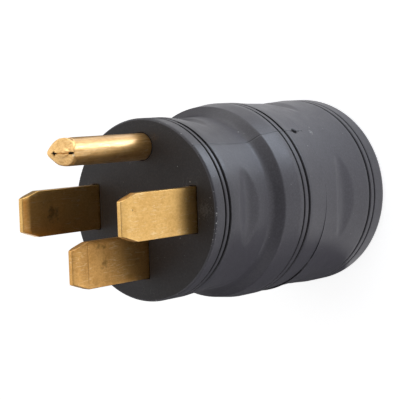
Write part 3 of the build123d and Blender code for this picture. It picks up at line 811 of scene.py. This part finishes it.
def noise(tree, scale, detail=4.0, stretch=(1, 1, 1), roughness=0.5):
    """Noise over the object's own coordinates, in millimetres."""
    place = add(tree, "ShaderNodeTexCoord")
    mapping = add(tree, "ShaderNodeMapping")
    mapping.inputs["Scale"].default_value = [s / MM for s in stretch]
    texture = add(tree, "ShaderNodeTexNoise")
    texture.inputs["Scale"].default_value = scale
    texture.inputs["Detail"].default_value = detail
    texture.inputs["Roughness"].default_value = roughness
    tree.links.new(place.outputs["Object"], mapping.inputs["Vector"])
    tree.links.new(mapping.outputs["Vector"], texture.inputs["Vector"])
    return texture.outputs["Fac"]


def remap(tree, value, low, high, to_low, to_high):
    node = add(tree, "ShaderNodeMapRange")
    for key, number in zip(("From Min", "From Max", "To Min", "To Max"), (low, high, to_low, to_high)):
        node.inputs[key].default_value = number
    tree.links.new(value, node.inputs["Value"])
    return node.outputs["Result"]


def combine(tree, operation, a, b):
    node = add(tree, "ShaderNodeMath", operation=operation)
    for socket, value in zip(node.inputs, (a, b)):
        if isinstance(value, (int, float)):
            socket.default_value = value
        else:
            tree.links.new(value, socket)
    return node.outputs["Value"]


def mix_colour(tree, factor, a, b):
    node = add(tree, "ShaderNodeMix", data_type="RGBA")
    tree.links.new(factor, node.inputs["Factor"])
    for key, value in (("A", a), ("B", b)):
        socket = [s for s in node.inputs if s.name == key and s.type == "RGBA"][0]
        if isinstance(value, tuple):
            socket.default_value = (*value, 1.0)
        else:
            tree.links.new(value, socket)
    return [s for s in node.outputs if s.type == "RGBA"][0]


def bump(tree, height, strength, distance_mm, after=None):
    node = add(tree, "ShaderNodeBump")
    node.inputs["Strength"].default_value = strength
    node.inputs["Distance"].default_value = distance_mm * MM
    tree.links.new(height, node.inputs["Height"])
    if after is not None:
        tree.links.new(after, node.inputs["Normal"])
    return node.outputs["Normal"]


def specks(tree, cell, size, share):
    """Small round flecks, one in a share of the cells."""
    place = add(tree, "ShaderNodeTexCoord")
    cells = add(tree, "ShaderNodeTexVoronoi")
    cells.inputs["Scale"].default_value = cell / MM
    tree.links.new(place.outputs["Object"], cells.inputs["Vector"])
    dot = remap(tree, cells.outputs["Distance"], size * 0.6, size, 1.0, 0.0)
    split = add(tree, "ShaderNodeSeparateColor")
    tree.links.new(cells.outputs["Color"], split.inputs["Color"])
    chosen = combine(tree, "LESS_THAN", split.outputs["Red"], share)
    return combine(tree, "MULTIPLY", dot, chosen)


def scratches(tree, stretch, scale, cut, patch_low=0.6):
    """Thin lines where a stretched noise crosses its middle, in a few patches."""
    streak = noise(tree, scale, 1.0, stretch)
    centred = combine(tree, "ABSOLUTE", combine(tree, "SUBTRACT", streak, 0.5), 0.0)
    line = remap(tree, centred, 0.0, cut, 1.0, 0.0)
    patches = remap(tree, noise(tree, 0.16, 1.0), patch_low, patch_low + 0.08, 0.0, 1.0)
    return combine(tree, "MULTIPLY", line, patches)


def object_axis(tree, axis):
    """One of the object's own coordinates, in millimetres."""
    place = add(tree, "ShaderNodeTexCoord")
    split = add(tree, "ShaderNodeSeparateXYZ")
    tree.links.new(place.outputs["Object"], split.inputs["Vector"])
    return combine(tree, "MULTIPLY", split.outputs[axis], 1 / MM)


def near_height(tree, z, reach):
    """One at a height and zero a reach away from it."""
    away = combine(tree, "ABSOLUTE", combine(tree, "SUBTRACT", object_axis(tree, "Z"), z), 0.0)
    return remap(tree, away, 0.0, reach, 1.0, 0.0)


def spot(tree, x, y, z, reach, grain=2.5, ragged_share=1.0):
    """Ragged patch round one point. Its reach in millimetres, its edge's grain per millimetre."""
    place = add(tree, "ShaderNodeTexCoord")
    span = add(tree, "ShaderNodeVectorMath", operation="DISTANCE")
    span.inputs[1].default_value = (x * MM, y * MM, z * MM)
    tree.links.new(place.outputs["Object"], span.inputs[0])
    away = combine(tree, "MULTIPLY", span.outputs["Value"], 1 / MM)
    swing = reach * ragged_share
    ragged = combine(tree, "ADD", away, remap(tree, noise(tree, grain, 3.0), 0.3, 0.7, -swing, swing))
    return remap(tree, ragged, reach * 0.3 * ragged_share, reach, 1.0, 0.0)


def plastic(name, low, high, rough, specular):
    """Satin moulded plastic with a fine grain. Returns its colour for later marks."""
    material, tree, shader = new_material(name)
    colour = mix_colour(tree, noise(tree, 0.08, 3.0), low, high)
    fleck = remap(tree, noise(tree, 1.8, 3.0, roughness=0.7), 0.42, 0.66, 0.0, 0.3)
    colour = mix_colour(tree, fleck, colour, tuple(2.0 * c for c in high))
    tree.links.new(remap(tree, noise(tree, 0.25, 5.0), 0.3, 0.7, rough - 0.04, rough + 0.04),
                   shader.inputs["Roughness"])
    shader.inputs["Specular IOR Level"].default_value = specular
    grain = bump(tree, noise(tree, 6.0, 3.0), 0.35, 0.02)
    tree.links.new(bump(tree, noise(tree, 0.3, 2.0), 0.2, 0.12, grain), shader.inputs["Normal"])
    tree.links.new(colour, shader.inputs["Base Color"])
    return material, tree, shader, colour


def mark(tree, shader, colour, mask, mark_colour):
    """Lays a mark over the colour and returns the result."""
    result = mix_colour(tree, mask, colour, mark_colour)
    tree.links.new(result, shader.inputs["Base Color"])
    return result


def line_mask(tree):
    """One along the dark moulding line of the front housing, broken into dashes near the pit."""
    place = add(tree, "ShaderNodeTexCoord")
    across = add(tree, "ShaderNodeVectorMath", operation="DOT_PRODUCT")
    across.inputs[1].default_value = (-math.sin(LINE_ANGLE) / MM, math.cos(LINE_ANGLE) / MM, 0.0)
    tree.links.new(place.outputs["Object"], across.inputs[0])
    outward = add(tree, "ShaderNodeVectorMath", operation="DOT_PRODUCT")
    outward.inputs[1].default_value = (math.cos(LINE_ANGLE), math.sin(LINE_ANGLE), 0.0)
    tree.links.new(place.outputs["Object"], outward.inputs[0])
    away = combine(tree, "ABSOLUTE", across.outputs["Value"], 0.0)
    line = combine(tree, "MULTIPLY", remap(tree, away, 0.08, 0.2, 0.65, 0.0),
                   combine(tree, "GREATER_THAN", outward.outputs["Value"], 0.0))
    height = object_axis(tree, "Z")
    whole = combine(tree, "GREATER_THAN", height, LINE_END_Z)
    dashes = remap(tree, noise(tree, 1.6, 1.0), 0.48, 0.56, 0.0, 1.0)
    dashes = combine(tree, "MULTIPLY", dashes, combine(tree, "GREATER_THAN", height, JOINT_Z + 1.2))
    return combine(tree, "MULTIPLY", line, combine(tree, "MAXIMUM", whole, dashes))


def housing_plastic():
    material, tree, shader, colour = plastic(
        "charcoal_housing_plastic", (0.045, 0.0425, 0.05), (0.056, 0.053, 0.062), 0.42, 0.42,
    )
    colour = mark(tree, shader, colour, line_mask(tree), (0.01, 0.01, 0.011))
    fine_dust = combine(tree, "MULTIPLY", specks(tree, 0.5, 0.09, 0.16), 0.3)
    large_dust = combine(tree, "MULTIPLY", specks(tree, 0.22, 0.055, 0.3), 0.45)
    dust = combine(tree, "MAXIMUM", fine_dust, large_dust)
    colour = mark(tree, shader, colour, dust, DUST_GREY)
    edge = near_height(tree, EDGE_WEAR_Z, EDGE_WEAR_REACH)
    wear = combine(tree, "MULTIPLY", edge, specks(tree, 0.9, 0.3, 0.25))
    colour = mark(tree, shader, colour, combine(tree, "MULTIPLY", wear, 0.8), WEAR_GREY)
    worn = spot(tree, FRONT_LAND_R - 0.3, -4.0, EDGE_WEAR_Z, 7.0)
    worn = combine(tree, "MULTIPLY", worn, specks(tree, 1.5, 0.35, 0.6))
    worn = combine(tree, "MULTIPLY", worn, edge)
    colour = mark(tree, shader, colour, worn, (0.6, 0.6, 0.6))
    scuff_r = BARREL_R - 0.4
    scuff = spot(tree, scuff_r * math.cos(SCUFF_ANGLE), scuff_r * math.sin(SCUFF_ANGLE), SCUFF_Z, 0.7)
    mark(tree, shader, colour, combine(tree, "MULTIPLY", scuff, 0.5), (0.4, 0.4, 0.4))
    return material


# The face is the same plastic as the barrel; its darker colours here are painted shade
def face_plastic():
    material, tree, shader, colour = plastic(
        "charcoal_face_painted_shade", (0.021, 0.019, 0.02), (0.031, 0.029, 0.031), 0.5, 0.28,
    )
    dust = combine(tree, "MAXIMUM", specks(tree, 0.3, 0.07, 0.2), specks(tree, 0.7, 0.12, 0.12))
    side = remap(tree, object_axis(tree, "X"), -5.0, 24.0, 0.12, 0.7)
    colour = mark(tree, shader, colour, combine(tree, "MULTIPLY", dust, side), (0.5, 0.5, 0.5))
    marks = scratches(tree, (1.0, 1.0, 1.0), 0.35, 0.004)
    colour = mark(tree, shader, colour, combine(tree, "MULTIPLY", marks, 0.3), (0.4, 0.4, 0.4))
    rubbed = noise(tree, 3.0, 3.0, (2.0, 0.5, 1.0))
    rubbed = combine(tree, "MULTIPLY", spot(tree, 22.0, 0.5, FACE_Z, 2.2), rubbed)
    colour = mark(tree, shader, colour, combine(tree, "MULTIPLY", rubbed, 0.35), (0.3, 0.3, 0.3))
    brown = combine(tree, "MULTIPLY", spot(tree, 4.9, 20.4, FACE_Z, 1.2), 0.5)
    mark(tree, shader, colour, brown, (0.07, 0.045, 0.03))
    return material


# Near-black copy of the plastic: painted shade for the grooves, the pit, the joint gap and the pin's holes
# and root
def make_painted_shade_material():
    return plastic("painted_shade_material", (0.006, 0.0055, 0.006), (0.012, 0.011, 0.012), 0.6, 0.1)[0]


def brass(name, light, dark, rough, stretch, smudge_low, smudge_colour, stains_and_painted_light=()):
    """Worn brass: fine grain, soft cloudy tone, smudges, light scratches and single spots from a list,
    which holds tarnish for the blades and painted shade and a painted highlight for the pin.
    """
    material, tree, shader = new_material(name)
    shader.inputs["Metallic"].default_value = 1.0
    grain = noise(tree, 1.7, 4.0, stretch, 0.75)
    cloud = noise(tree, 0.14, 4.0)
    fine_tone = combine(tree, "MULTIPLY", grain, 0.65)
    tone = combine(tree, "ADD", fine_tone, combine(tree, "MULTIPLY", cloud, 0.35))
    colour = mix_colour(tree, remap(tree, tone, 0.42, 0.58, 0.0, 1.0), dark, light)
    smudge = remap(tree, noise(tree, 0.35, 2.0, roughness=0.4), smudge_low, smudge_low + 0.2, 0.0, 0.6)
    colour = mix_colour(tree, smudge, colour, smudge_colour)
    rub = combine(tree, "MULTIPLY", scratches(tree, (1.0, 1.0, 0.1), 1.1, 0.02, 0.42), 0.45)
    colour = mix_colour(tree, rub, colour, RUBBED_BRASS)
    # Each spot darkens or lightens the colour round its place: tarnish on the blades, painted shade and
    # highlight on the pin
    for place, reach, strength, stain_and_light_colour in stains_and_painted_light:
        stain_and_light_mask = spot(tree, *place, reach, STAIN_AND_LIGHT_GRAIN, STAIN_AND_LIGHT_RAGGED_SHARE)
        stain_and_light_mask = combine(tree, "MULTIPLY", stain_and_light_mask, strength)
        colour = mix_colour(tree, stain_and_light_mask, colour, stain_and_light_colour)
    tree.links.new(colour, shader.inputs["Base Color"])
    tree.links.new(remap(tree, tone, 0.38, 0.62, rough + 0.05, rough - 0.04), shader.inputs["Roughness"])
    fine = bump(tree, grain, 0.5, 0.03)
    tree.links.new(bump(tree, cloud, 0.2, 0.2, fine), shader.inputs["Normal"])
    return material


def plain_metal(name, colour, rough):
    material, tree, shader = new_material(name)
    shader.inputs["Metallic"].default_value = 1.0
    darker = tuple(c * 0.8 for c in colour)
    tree.links.new(mix_colour(tree, noise(tree, 0.4, 4.0), darker, colour), shader.inputs["Base Color"])
    roughness = remap(tree, noise(tree, 2.0, 3.0), 0.3, 0.7, rough, rough + 0.12)
    tree.links.new(roughness, shader.inputs["Roughness"])
    return material


def insulator(name, low, high):
    material, tree, shader = new_material(name)
    tree.links.new(mix_colour(tree, noise(tree, 0.15, 3.0), low, high), shader.inputs["Base Color"])
    shader.inputs["Roughness"].default_value = 0.55
    shader.inputs["Specular IOR Level"].default_value = 0.35
    tree.links.new(bump(tree, noise(tree, 4.0, 3.0), 0.3, 0.02), shader.inputs["Normal"])
    return material


# Pieces
housing_look = housing_plastic()
face_painted_shade_look = face_plastic()
painted_shade_look = make_painted_shade_material()
TARNISH = (0.08, 0.04, 0.01)
# Each spot: its place, its reach, its strength and its colour. The blades' spots are tarnish; the pin's are
# painted shade and a painted highlight
hot_stains = [
    ((19.05, 2.6, 108.3), 0.35, 0.5, TARNISH),
    ((-16.65, 0.3, 101.0), 2.6, 0.5, TARNISH),
]
neutral_stains = [
    ((1.2, -13.0, 100.2), 1.5, 0.55, TARNISH),
    ((1.2, -8.2, 100.4), 0.9, 0.5, TARNISH),
    ((1.2, -7.9, 102.4), 0.9, 0.4, TARNISH),
]
pin_y = middle("ground_pin").y
# Painted shade on the upper flank of the dimple by the side hole, and a painted highlight on its lower
# flank
pin_painted_shade_and_highlight = [
    ((3.2, pin_y + 0.4, PIN_TIP_Z - 2.3), 0.9, 0.6, (0.3, 0.15, 0.03)),
    ((3.6, pin_y - 0.85, PIN_TIP_Z - 2.9), 0.6, 0.9, (1.0, 0.86, 0.6)),
]
blade_look = brass(
    "blade_brass", (0.78, 0.485, 0.17), (0.66, 0.385, 0.12), 0.32, (1.0, 1.0, 0.8), 0.6, (0.52, 0.28, 0.07),
    hot_stains,
)
# The neutral blade is the same brass as the hot blades; its darker colours here are painted shade
neutral_painted_shade_look = brass(
    "neutral_brass_painted_shade", (0.67, 0.375, 0.122), (0.54, 0.285, 0.084), 0.4, (1.0, 1.0, 0.8), 0.56,
    (0.44, 0.23, 0.06), neutral_stains,
)
pin_look = brass(
    "pin_brass", (0.84, 0.53, 0.2), (0.6, 0.33, 0.1), 0.42, (1.0, 1.0, 0.1), 0.6, (0.58, 0.32, 0.09),
    pin_painted_shade_and_highlight,
)
pin_shader = pin_look.node_tree.nodes["Principled BSDF"]
pin_shader.inputs["Coat Weight"].default_value = 0.9
pin_shader.inputs["Coat Roughness"].default_value = 0.25
strip_look = plain_metal("strip_brass", (0.68, 0.46, 0.2), 0.28)
spring_look = plain_metal("spring_steel", (0.55, 0.56, 0.58), 0.3)
screw_look = plain_metal("plated_screw_steel", (0.62, 0.62, 0.61), 0.25)
socket_look = insulator("socket_insulator", (0.028, 0.028, 0.03), (0.04, 0.04, 0.042))
inner_look = insulator("inner_insulator", (0.08, 0.08, 0.084), (0.1, 0.1, 0.105))

plug_body = new_piece("plug_body", plug_housing(), housing_look, ["plug_housing"])
plug_body.data.materials.append(face_painted_shade_look)
for polygon in plug_body.data.polygons:
    if polygon.center.z > (FACE_Z - 0.05) * MM and polygon.normal.z > 0.99:
        polygon.material_index = 1
# Third slot: near-black painted shade in the grooves, the pit and the joint gap
plug_body.data.materials.append(painted_shade_look)
paint_recess_shade(plug_body, 2)
socket_body = new_piece("socket_body", socket_housing(), housing_look, ["socket_housing"])
# Second slot: near-black painted shade in the grooves and the joint gap
socket_body.data.materials.append(painted_shade_look)
paint_recess_shade(socket_body, 1)
for node, line in BLADE_LINE.items():
    look = neutral_painted_shade_look if node == "neutral_blade" else blade_look
    new_piece(node + "_bar", blade(node, line), look, [node])
pin_mesh, pin_dark_points = ground_pin()
pin_tube = new_piece("ground_pin_tube", pin_mesh, pin_look, ["ground_pin"])
pin_tube.data.materials.append(painted_shade_look)
# Faces in the pin's holes and at its root below the face take the near-black painted shade
dark_points = set(pin_dark_points.tolist())
for polygon in pin_tube.data.polygons:
    in_hole = sum(index in dark_points for index in polygon.vertices) > 1
    if in_hole or polygon.center.z < PIN_ROOT_SHADE_Z * MM:
        polygon.material_index = 1

looks = {
    "socket_insulator": socket_look,
    "inner_insulator": inner_look,
    "strip_brass": strip_look,
    "spring_steel": spring_look,
    "screw_steel": screw_look,
    "housing": housing_look,
    "pin_brass": pin_look,
    "blade_brass": blade_look,
}
CAD_EDGE_ROUND = 0.15
CAD_EDGE_TURN = math.radians(40.0)
for node in ("socket_face", "assembly_screws"):
    edge_round = nodes[node].modifiers.new("edge_round", "BEVEL")
    edge_round.width = CAD_EDGE_ROUND * MM
    edge_round.segments = 2
    edge_round.limit_method = "ANGLE"
    edge_round.angle_limit = CAD_EDGE_TURN
for part in frame["record"]["subparts"]:
    cad = nodes[part["node"]]
    for material_slot in cad.material_slots:
        material_slot.material = looks[part["material_slot"]]


FLOOR_GLOW = 0.75
FLOOR_PAPER = 0.75
WORLD_GREY = 0.32


def floor_material():
    """White to the camera and in reflections, with a lit part that takes the shadow."""
    material = bpy.data.materials.new("white_floor")
    material.use_nodes = True
    tree = material.node_tree
    tree.nodes.clear()
    path = add(tree, "ShaderNodeLightPath")
    seen = combine(tree, "MAXIMUM", path.outputs["Is Camera Ray"], path.outputs["Is Glossy Ray"])
    seen = combine(tree, "MAXIMUM", seen, path.outputs["Is Transmission Ray"])
    paper = add(tree, "ShaderNodeBsdfDiffuse")
    paper.inputs["Color"].default_value = (FLOOR_PAPER, FLOOR_PAPER, FLOOR_PAPER, 1)
    glow = add(tree, "ShaderNodeEmission")
    glow.inputs["Color"].default_value = (1, 1, 1, 1)
    tree.links.new(combine(tree, "MULTIPLY", seen, FLOOR_GLOW), glow.inputs["Strength"])
    both = add(tree, "ShaderNodeAddShader")
    tree.links.new(paper.outputs[0], both.inputs[0])
    tree.links.new(glow.outputs[0], both.inputs[1])
    geometry = add(tree, "ShaderNodeNewGeometry")
    clear = add(tree, "ShaderNodeBsdfTransparent")
    choose = add(tree, "ShaderNodeMixShader")
    tree.links.new(geometry.outputs["Backfacing"], choose.inputs[0])
    tree.links.new(both.outputs[0], choose.inputs[1])
    tree.links.new(clear.outputs[0], choose.inputs[2])
    out = add(tree, "ShaderNodeOutputMaterial")
    tree.links.new(choose.outputs[0], out.inputs["Surface"])
    return material


def make_floor():
    half = 3.0
    corners = [(-half, -half, 0), (half, -half, 0), (half, half, 0), (-half, half, 0)]
    mesh = bpy.data.meshes.new("floor")
    mesh.from_pydata(corners, [], [(0, 1, 2, 3)])
    floor = bpy.data.objects.new("floor", mesh)
    bpy.context.scene.collection.objects.link(floor)
    mesh.materials.append(floor_material())


def make_world():
    world = bpy.data.worlds.new("studio")
    bpy.context.scene.world = world
    world.use_nodes = True
    tree = world.node_tree
    background = tree.nodes["Background"]
    path = add(tree, "ShaderNodeLightPath")
    seen = combine(tree, "MAXIMUM", path.outputs["Is Camera Ray"], path.outputs["Is Glossy Ray"])
    seen = combine(tree, "MAXIMUM", seen, path.outputs["Is Transmission Ray"])
    tree.links.new(remap(tree, seen, 0.0, 1.0, WORLD_GREY, 1.0), background.inputs["Strength"])
    background.inputs["Color"].default_value = (1, 1, 1, 1)


def area_light(name, place, target, size, radiance, colour=(1, 1, 1)):
    """Soft light of a given brightness, not seen by the camera. Places and size in metres."""
    lamp = bpy.data.lights.new(name, "AREA")
    lamp.shape = "RECTANGLE"
    lamp.size, lamp.size_y = size
    lamp.energy = radiance * math.pi * size[0] * size[1]
    lamp.color = colour
    light = bpy.data.objects.new(name, lamp)
    bpy.context.scene.collection.objects.link(light)
    light.location = place
    light.rotation_euler = (Vector(target) - Vector(place)).to_track_quat("-Z", "Y").to_euler()
    light.visible_camera = False
    return light


def make_lights():
    area_light(
        "low_side_panel", (0.052, 0.062, 0.004), (0.012, 0.008, 0.065), (0.055, 0.055), 5.8,
        (0.76, 0.85, 1.0),
    )
    area_light("top_softbox", (0.0, 0.42, 0.08), (0.0, 0.0, 0.06), (0.35, 0.2), 2.2)
    fill = area_light(
        "right_fill", (0.14, -0.12, 0.015), (0.015, -0.01, 0.04), (0.1, 0.02), 20.0,
        (0.92, 0.93, 1.0),
    )
    fill.visible_glossy = False
    area_light("front_softbox", (-0.25, 0.25, 0.5), (0.0, 0.0, 0.06), (0.4, 0.4), 0.7)


def dark_card(name, corners, grey):
    """Card beside the object, seen only in its reflections. Corners in metres."""
    mesh = bpy.data.meshes.new(name)
    mesh.from_pydata(corners, [], [(0, 1, 2, 3)])
    card = bpy.data.objects.new(name, mesh)
    bpy.context.scene.collection.objects.link(card)
    material, _, shader = new_material(name)
    shader.inputs["Base Color"].default_value = (grey, grey, grey, 1)
    shader.inputs["Roughness"].default_value = 0.9
    shader.inputs["Specular IOR Level"].default_value = 0.0
    mesh.materials.append(material)
    card.visible_camera = False
    card.visible_diffuse = False
    card.visible_transmission = False
    card.visible_shadow = False


def make_cards():
    low = 0.0006
    floor_corners = [(-0.12, -0.2, low), (0.075, -0.2, low), (0.075, -0.035, low), (-0.12, -0.005, low)]
    dark_card("floor_card", floor_corners, 0.25)
    far_corners = [(-0.2, 0.02, low), (-0.055, 0.02, low), (-0.055, 0.2, low), (-0.2, 0.2, low)]
    dark_card("far_floor_card", far_corners, 0.3)
    right_corners = [(0.25, -0.3, 0.14), (0.25, 0.16, 0.14), (0.25, 0.16, 0.34), (0.25, -0.3, 0.34)]
    dark_card("right_card", right_corners, 0.15)
    side_corners = [(-0.4, -0.2, 0.0), (0.3, -0.2, 0.0), (0.3, -0.2, 0.1), (-0.4, -0.2, 0.1)]
    dark_card("side_card", side_corners, 0.02)


CAMERA_PLACE = Vector((256.0, 30.8, 377.5)) * MM
CAMERA_BACK = Vector((0.6219, 0.0726, 0.7797))
CAMERA_UP = Vector((-0.0194, 0.9968, -0.0774))
SENSOR_MM = 36.0
FOCAL_IN_FRAMES = 3.5


def make_camera():
    data = bpy.data.cameras.new("camera")
    camera = bpy.data.objects.new("camera", data)
    bpy.context.scene.collection.objects.link(camera)
    data.sensor_width = SENSOR_MM
    data.lens = SENSOR_MM * FOCAL_IN_FRAMES
    data.clip_start = 0.01
    data.clip_end = 20.0
    back = CAMERA_BACK.normalized()
    right = CAMERA_UP.cross(back).normalized()
    up = back.cross(right)
    turn = Matrix((right, up, back)).transposed().to_4x4()
    camera.matrix_world = Matrix.Translation(CAMERA_PLACE) @ turn
    bpy.context.scene.camera = camera


make_floor()
make_world()
make_lights()
make_cards()
make_camera()
bpy.context.scene.view_settings.view_transform = "Standard"
